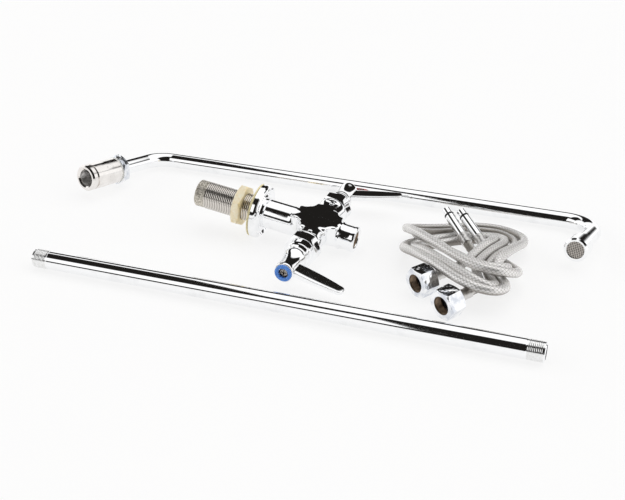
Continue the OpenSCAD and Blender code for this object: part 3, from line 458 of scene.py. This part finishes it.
# %% Dress the solids
both = lambda *names: [f"{side}_{name}" for side in ("cold", "hot") for name in names]
each_hose = lambda *names: [f"hose_{key}_{name}" for key in "ab" for name in names]
DRESS = {
    chrome: ["base_flange", *both("bonnet"), "tube_collar", "outlet_collar",
             *each_hose("connector")],
    forged: ["swivel_nut", *each_hose("nut")],
    tube_chrome: ["riser_pipe", "nozzle_tube", "aerator_housing"],
    bright_nickel: ["riser_coupling"],
    nickel: each_hose("ferrule", "connector_ferrule"),
    lock_brass: ["lock_nut", *both("stem", "cartridge")],
    dull_brass: each_hose("tail"),
    fibre: ["deck_gasket"],
    rubber: [*both("bonnet_seal", "seat_seal"), "swivel_seals", "coupling_gasket",
             "aerator_washer", *each_hose("washer", "oring")],
    moulding: ["thrust_ring", "swivel_bush", "aerator_insert"],
    blue_ring: ["cold_index_ring"],
    red_ring: ["hot_index_ring"],
    screw_steel: both("screw"),
    screen: ["aerator_screen"],
}
for look, names in DRESS.items():
    for name in names:
        slots = nodes[name].data.materials
        for i in range(len(slots)):
            slots[i] = look
print("dressed:", sum(map(len, DRESS.values())))

# %% [markdown]
# ## Valve body
# The body is one brass casting: two arms, the barrel and the outlet run into each other with soft
# hollows, and plating and polish leave no crease. The solid has plain creases there. A sculpted
# skin would be slow to make, so a copy of the solid is remeshed in even cells and relaxed a few
# times, which turns each crease into a small even fillet and keeps the bores open.

# %% Valve body
def fitted(piece, look, body, node=None):
    """Give a piece its finish and its body, and let it stand for a CAD solid if one is named."""
    piece.data.materials.append(look)
    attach(piece, body)
    if node:
        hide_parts(node)
    print(f"{piece.name}: {len(piece.data.polygons)} faces, on {body}")

def relaxed(name, node, cell, rounds):
    """A copy of a solid's mesh, remeshed on a grid of the cell's size, then each point moved half
    way to the mean of its neighbours, rounds times."""
    piece = bpy.data.objects.new(name, nodes[node].data.copy())
    bpy.context.scene.collection.objects.link(piece)
    piece.modifiers.new("weld", "WELD").merge_threshold = 0.01 * MM
    remesh = piece.modifiers.new("cells", "REMESH")
    remesh.mode, remesh.voxel_size, remesh.use_smooth_shade = "VOXEL", cell, True
    relax = piece.modifiers.new("relax", "SMOOTH")
    relax.factor, relax.iterations = 0.5, rounds
    view = bpy.context.evaluated_depsgraph_get()
    mesh = bpy.data.meshes.new_from_object(piece.evaluated_get(view))
    piece.modifiers.clear()
    piece.data = mesh
    mesh.materials.clear()
    mesh.polygons.foreach_set("use_smooth", np.ones(len(mesh.polygons), bool))
    return piece

casting = relaxed("body_casting", "valve_body", cell=0.7 * MM, rounds=30)
fitted(casting, chrome, "valve", "valve_body")

# %% [markdown]
# ## Pieces round an axis
# Threads, the shank, the hubs and the floor are all turned round an axis. The record of the CAD
# model names the mounts where pieces meet, with a middle and an axis each, so no place has to be
# typed in twice. A lathe tool such as Blender's Screw modifier turns one profile; here the radius
# may also change with the turn, which is what a thread needs.

# %% Round an axis
def axis_of(mount):
    """Unit vector along a mount's axis."""
    return unit(mounts[mount]["axis"])

def mount_at(mount, offset):
    """A mount's middle moved along its axis, in mm."""
    return np.array(mounts[mount]["pos_m"]) / MM + offset * axis_of(mount)

def full_turn(sides):
    """The angles of one turn, one for each column."""
    return np.linspace(0, 2 * np.pi, sides, endpoint=False)[None]

def around(start, way, side, height, radius, turn):
    """start + height * way + radius * (cos(turn) * side + sin(turn) * (way x side)). Rows run
    along the way and columns go round it."""
    spokes = np.cos(turn)[..., None] * side + np.sin(turn)[..., None] * np.cross(way, side)
    return start + height[..., None] * way + radius[..., None] * spokes

print("mounts:", len(mounts))

# %% [markdown]
# ## Threads
# A pipe thread is a ridge that winds round a cylinder and climbs one pitch a turn. The solids have
# plain cylinders there, so each thread is a thin sleeve on them. The radius is a zigzag of the
# height minus the turn. It fades out at both ends, as a cut thread does, and the sleeve closes on
# its inner side.

# %% Thread sleeves
RISER_PITCH, NUT_PITCH = 1.41, 1.34
ROWS_PER_PITCH = 8
THREAD_WALL = 0.15

def zigzag(height, turn, pitch):
    """1 - |2 * fraction(height / pitch - turn / 360 degrees) - 1|: up and down once a pitch."""
    return 1 - np.abs(((height / pitch - turn / (2 * np.pi)) % 1) * 2 - 1)

def thread(name, mount, offset, length, radius, depth, pitch, body, look):
    """A sleeve on a mount's axis with radius + depth * zigzag, faded over one pitch at each end.
    A negative depth cuts an inner thread."""
    way, turn = axis_of(mount), full_turn(48)
    h = np.linspace(0, length, int(length / pitch * ROWS_PER_PITCH) + 1)[:, None]
    fade = np.clip(np.minimum(h, length - h) / pitch, 0, 1)
    r = radius + depth * zigzag(h, turn, pitch) * fade
    wall = np.full((1, turn.size), radius - np.sign(depth) * THREAD_WALL)
    h, r = np.vstack([h[:1], h, h[-1:]]), np.vstack([wall, r, wall])
    side = unit(np.cross(way, (0, 0.3, 1)))
    points = around(mount_at(mount, offset), way, side, h, r, turn) * MM
    outward = points if depth > 0 else points[::-1]
    fitted(grid_mesh(name, outward, ring=True), look, body)

for end in ("left", "right"):
    thread(f"riser_thread_{end}", f"riser_end_{end}", offset=-6.6, length=13.2, radius=8.3,
           depth=0.2, pitch=RISER_PITCH, body="riser", look=thread_steel)

# %% [markdown]
# ## Shank
# The shank is the threaded pipe below the flange. Its first ten millimetres are plain and rough, to
# start the lock nut. One closed sleeve makes it all: the outer wall with its thread, and the bore.
# The finish paints shade into the valleys, which are also duller, and leaves the crests bright.

# %% Shank
SHANK_LENGTH, SHANK_PITCH = 75.0, 1.8
TIP_LENGTH, TIP_R, CHAMFER = 10.0, 12.8, 0.7
ROOT_R, RIDGE = 12.85, 0.3
VALVE_FROM, VALVE_R, BORE_R = 61.9, 11.85, 10.8  # the part inside the valve is thinner
valve_way = -axis_of("shank_bore")
valve_up = unit(np.cross(np.cross(valve_way, (0, 0, 1)), valve_way))

def cut_thread(at):
    """On the sleeve's map u is one turn and v the height: the valleys of v/pitch - u get painted
    shade and more roughness, and the plain tip is mottled."""
    u, v, _ = at.node("UVMap", uv_map=UV_NAME).parts()
    # Painted shade in the thread's valleys; their greater roughness is real.
    shaded_valley = ((v / SHANK_PITCH - u).math("FRACT") * 2 - 1).size().over(0.35, 0.9)
    tip = 1 - v.over(TIP_LENGTH - 0.4, TIP_LENGTH + 0.2)
    grit = at.noise(700.0).over(0.35, 0.65)
    cut = shaded_valley.mix((0.83, 0.79, 0.74), (0.16, 0.14, 0.12))
    raw = grit.mix((0.30, 0.27, 0.22), (0.82, 0.78, 0.70))
    return {"Base Color": tip.mix(cut, raw),
            "Roughness": 0.17 + shaded_valley * 0.2 + tip * 0.25,
            "Normal": (grit * tip * 0.12).bump()}

def shank(name):
    """Radius at height h: TIP_R along the tip, then ROOT_R + RIDGE * zigzag, then VALVE_R inside
    the valve. The first CHAMFER millimetres slope in, and both ends go in to BORE_R."""
    turn = full_turn(64)
    h = np.linspace(0, SHANK_LENGTH, int(SHANK_LENGTH / SHANK_PITCH * ROWS_PER_PITCH))[:, None]
    r = np.where(h < TIP_LENGTH, TIP_R, ROOT_R + RIDGE * zigzag(h, turn, SHANK_PITCH))
    r = np.where(h > VALVE_FROM, VALVE_R, r) - np.clip(CHAMFER - h, 0, CHAMFER)
    bore = np.full((1, turn.size), BORE_R)
    h, r = np.vstack([h[:1], h, h[-1:]]), np.vstack([bore, r, bore])
    start = mount_at("shank_bore", SHANK_LENGTH / 2)
    points = around(start, valve_way, valve_up, h, r, turn) * MM
    return grid_mesh(name, points, uv=np.append(h, h[-1]), ring=True)

fitted(shank("shank_tube"), finish("threaded_brass", cut_thread), "valve", "shank")

# %% [markdown]
# ## Handles
# Each handle is a hub with a lever blade. On the real one the top of the blade is flat and its
# edges are rolled over, so the top mirrors one dark patch and the edge a white line. A box with a
# bevel would need many segments; a superellipse carried along the blade gives both at once. The
# hub is a profile turned round its axis.

# %% Hub and blade
BLADE_FROM, BLADE_TO, BLADE_NOSE = 4.0, 52.0, 5.0  # from the hub's axis, and the round end past it
FLATNESS = 7.0                                     # 2 is an ellipse, more is nearer a rectangle
HUB_PROFILE = np.array([                           # (radius, height above the foot)
    (4.6, 24.8), (4.6, 27.8), (7.9, 27.8), (7.9, 29.0), (8.4, 29.0), (8.8, 28.85), (9.1, 28.4),
    (9.3, 27.6), (9.35, 26.5), (9.1, 24.0), (8.8, 21.0), (8.7, 17.0), (8.8, 13.0), (9.2, 9.0),
    (9.9, 6.0), (10.5, 4.2), (10.8, 3.0), (10.8, 1.0), (10.6, 0.4), (10.1, 0.0), (4.2, 0.0)])

def superellipse(half_width, half_height, power, turn):
    """x = a * sign(cos) * |cos|^(2/power), y = b * sign(sin) * |sin|^(2/power)."""
    squared = lambda w: np.sign(w) * np.abs(w) ** (2 / power)
    return half_width[:, None] * squared(np.cos(turn)), half_height[:, None] * squared(np.sin(turn))

def blade(name, start, along, across, up):
    """Row at distance s: half width 7.6 - 2.2 t + 1.2 sin(pi t) and half height 3 - 1.2 t, where t
    goes from 0 to 1 along the blade. The nose shrinks both by the root of 1 - square."""
    nose = BLADE_TO + BLADE_NOSE * np.sin(np.linspace(0.1, np.pi / 2, 10))
    s = np.concatenate([np.linspace(BLADE_FROM, BLADE_TO, 25), nose])
    t = np.clip((s - BLADE_FROM) / (BLADE_TO - BLADE_FROM), 0, 1)
    past = np.clip(s - BLADE_TO, 0, BLADE_NOSE) / (BLADE_NOSE + 0.001)
    shrink = np.sqrt(1 - past**2)
    wide, high = superellipse((7.6 - 2.2 * t + 1.2 * np.sin(np.pi * t)) * shrink,
                              (3.0 - 1.2 * t) * shrink**0.4, FLATNESS, full_turn(64))
    middle = start + s[:, None] * along
    points = middle[:, None] + wide[..., None] * across + high[..., None] * up
    return grid_mesh(name, points * MM)

def hub(name, foot, out_way):
    """HUB_PROFILE turned round the hub's axis: a rolled rim, a waist and a flared foot."""
    r, h = HUB_PROFILE.T[..., None]
    side = unit(np.cross(out_way, (0.3, 0, 1)))
    return grid_mesh(name, around(foot, out_way, side, h, r, full_turn(64))[::-1] * MM)

# %% [markdown]
# ## Both handles in place
# A handle turns about the axis of its stem. The cold lever is shut and lies along the valve; the
# hot one has been left a little open. Both lean away from the valve, so that a hand fits behind
# them. The axes come from the joints, so each lever turns about the axis that it was made on.

# %% Both handles
LEAN, OPEN = math.radians(13), math.radians(11)
FOOT_BACK, BLADE_OUT = 9.5, 16.8  # the foot behind the joint, the blade in front of the foot
cold_out = unit(joints["cold_handle_turn"]["axis"])
front = np.cross(cold_out, valve_way)
for hand, out_way, opened in (("cold", cold_out, 0.0), ("hot", -cold_out, OPEN)):
    foot = np.array(joints[f"{hand}_handle_turn"]["pos_m"]) / MM - FOOT_BACK * out_way
    level = math.cos(opened) * valve_way + math.sin(opened) * front
    up = math.cos(opened) * front - math.sin(opened) * valve_way
    along = math.cos(LEAN) * level + math.sin(LEAN) * out_way
    across = math.cos(LEAN) * out_way - math.sin(LEAN) * level
    for piece in (hub(f"{hand}_hub", foot, out_way),
                  blade(f"{hand}_blade", foot + BLADE_OUT * out_way, along, across, up)):
        fitted(piece, chrome, f"{hand}_handle", f"{hand}_lever")

# %% [markdown]
# ## Inner threads
# The same sleeve with a negative depth cuts a thread into a bore. It shows where the camera looks
# into a piece: the valve's outlet, the riser coupling and the two supply nuts.

# %% Inner threads
INNER_DEPTH = -0.5
for name, mount, offset, length, radius, pitch, body, look in (
        ("outlet_thread", "riser_outlet", -6.5, 13.5, 8.63, RISER_PITCH, "valve", bore_brass),
        ("coupling_thread", "riser_socket", -6.6, 13.0, 8.63, RISER_PITCH, "swivel", nickel),
        *((f"nut_thread_{key}", f"supply_nut_{key}_thread", -4.2, 8.2, 8.28, NUT_PITCH,
           f"supply_nut_{key}", bore_brass) for key in "ab")):
    thread(name, mount, offset, length, radius, INNER_DEPTH, pitch, body, look)

# %% [markdown]
# ## Floor and backdrop
# It is one surface of revolution, a profile of radius and height turned once. It adds its own light
# to what the camera and the metal see of it, so it stays white, and it still takes the soft shadows
# of the pieces.

# %% Floor
FLOOR_R, RIM_TOP, RIM_CURVE = 2.6, 0.08, 0.05  # in metres
FLOOR_BELOW = 0.1 * MM                         # keeps it clear of the undersides
OWN_LIGHT = 0.8                                # the share of glow, where the floor is seen

def seamless(name):
    """Profile in metres: flat to FLOOR_R, a quarter circle of RIM_CURVE, then up to RIM_TOP."""
    bend = np.linspace(0, np.pi / 2, 13)
    rim = [FLOOR_R + RIM_CURVE * np.sin(bend), [FLOOR_R + RIM_CURVE]]
    reach = np.concatenate([[0.001, FLOOR_R * 0.3, FLOOR_R * 0.7], *rim])[:, None]
    height = np.concatenate([[0, 0, 0], RIM_CURVE * (1 - np.cos(bend)), [RIM_TOP]])[:, None]
    middle, up, right = np.array([[0, 0, -FLOOR_BELOW], [0, 0, 1], [1, 0, 0]])
    return grid_mesh(name, around(middle, up, right, height, reach, full_turn(64)), capped=False)

def white_sheet():
    """Plain paper, mixed with a white glow by OWN_LIGHT for camera and glossy rays only."""
    material = bpy.data.materials.new("white_sheet")
    material.use_nodes = True
    material.node_tree.nodes.clear()
    at = Wire(material.node_tree).node("TexCoord", out="Object")
    seen = at.ray("Camera").either(at.ray("Glossy"))
    paper = at.noise(3.0).mix((0.90, 0.893, 0.885), (0.94, 0.935, 0.93))
    flat = at.node("BsdfDiffuse", {"Color": paper})
    glow = at.node("Emission", {"Color": (1, 1, 1, 1), "Strength": 1.0})
    at.node("OutputMaterial", {0: at.node("MixShader", {0: seen * OWN_LIGHT, 1: flat, 2: glow})})
    return material

floor = seamless("white_sweep")
floor.data.materials.append(white_sheet())
print("floor faces:", len(floor.data.polygons))

# %% [markdown]
# ## Studio light
# Chrome has no colour of its own, so the studio is half of its look: hard white and black bands.
# The world is that studio, worked out from the direction. How far a ray has risen, in degrees from
# the back horizon over the top to the front one at 180, picks the band: white soft boxes, a black
# gap between them that is wide on the left and slides to the front on the right, a dark line behind
# the backdrop and another low in front. The far left and right stay white. Lamps and cards in the
# scene would do the same, but each would have to be kept out of the camera's view.

# %% World
LIGHT, BACKDROP, MIRRORED = 1.75, 1.0, 1.13
world = bpy.data.worlds.new("studio")
bpy.context.scene.world = world
world.use_nodes = True
tree = world.node_tree
way = Wire(tree).node("TexCoord", out="Generated")
x, y, z = way.parts()
rise = z.math("ARCTAN2", y) * (180 / math.pi)

def between(wire, low, high, edge=4.0):
    """1 from low to high, with edges that soften over edge degrees; low and high may be wires."""
    return ((wire - low) / edge + 0.5).held() * ((high - wire) / edge + 0.5).held()

# The edges of each band, in degrees of rise. x runs from -1 at the left to 1 at the right.
gap_low = 63.0 + x.over(-0.40, -0.33) * 40.0
gap_high = 125.0 + x.over(-0.22, -0.17) * 46.0
behind = 31.0 - (x + 0.16).math("MINIMUM", 0.0) * 34.0
back_line = between(rise, behind - 19.0, behind + 8.5)
front_line = between(rise, 162.0, 177.0)
sides = x.size().over(0.72, 0.8)
dark = between(rise, gap_low, gap_high, 5.0).either(back_line).either(front_line) * (1 - sides)
sky = dark.mix((1, 1, 1), (0.012, 0.011, 0.010))

# %% [markdown]
# ## Strength of the light
# A matt surface takes in the black bands too, and would turn grey under a world that is plain white
# to the camera. So the world is brightest for diffuse rays, plain white for the camera, and just
# over white for mirrors. Light Path tells the kinds of ray apart.

# %% Light by kind of ray
seen, mirrored = way.ray("Camera"), way.ray("Glossy")
strength = LIGHT - seen * (LIGHT - BACKDROP) - mirrored * (LIGHT - MIRRORED)
background = tree.nodes["Background"]
tree.links.new(seen.mix(sky, (1, 1, 1)).socket, background.inputs["Color"])
tree.links.new(strength.socket, background.inputs["Strength"])
print("world nodes:", len(tree.nodes))

# %% [markdown]
# ## Finish
# The view transform is Standard, so that white stays white and black stays black, as in a
# catalogue.

# %% Finish
bpy.context.scene.view_settings.view_transform = "Standard"
